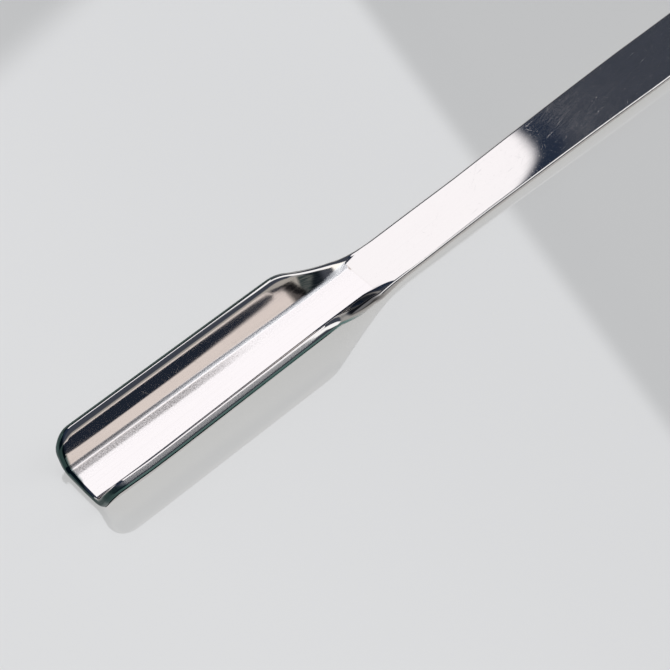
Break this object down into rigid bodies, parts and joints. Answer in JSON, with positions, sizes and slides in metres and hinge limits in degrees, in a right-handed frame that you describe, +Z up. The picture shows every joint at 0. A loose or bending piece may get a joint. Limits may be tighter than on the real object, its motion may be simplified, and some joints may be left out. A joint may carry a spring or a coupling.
{
  "type": "lab spatula",
  "caption": "Lab spatula pressed from a steel strip: a flat-bottomed trough with an open tip for scooping powder, running down to a flat handle.",
  "frame": {"origin": "on the resting plane, below the middle of the bounding box", "axes": "+X along the length from the trough's open tip to the handle's far end, +Z up out of the trough's open top, Y across the strip"},
  "size_m": [0.18, 0.014, 0.0066],
  "materials": {
    "steel": "mirror polished stainless steel with fine lengthwise polishing lines"
  },
  "bodies": {
    "root": {"spatula": "steel"}
  },
  "joints": []
}
